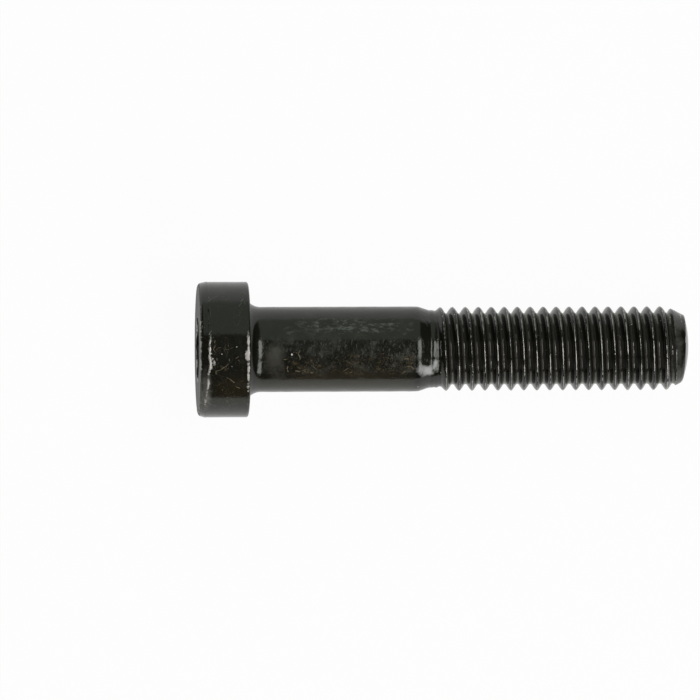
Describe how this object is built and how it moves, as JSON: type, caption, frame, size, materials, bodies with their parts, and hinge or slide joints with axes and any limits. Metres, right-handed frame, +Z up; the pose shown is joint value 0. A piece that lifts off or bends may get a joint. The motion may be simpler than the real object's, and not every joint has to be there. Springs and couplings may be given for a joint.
{
  "type": "hex socket cap screw",
  "caption": "Low-head hex socket cap screw with a plain shank, a rolled metric thread and a chamfered point, in blackened steel, lying on its side.",
  "frame": {"origin": "on the table, under the middle of the lying screw's box", "axes": "+X along the screw from head to point, which dips 3.51 degrees because the head is wider than the thread; +Z up"},
  "size_m": [0.0568, 0.0156, 0.0158],
  "materials": {
    "blackened_steel": "black oxide, oiled, glossy, with worn and chipped edges"
  },
  "bodies": {
    "root": {"cap_screw": "blackened_steel"}
  },
  "joints": []
}
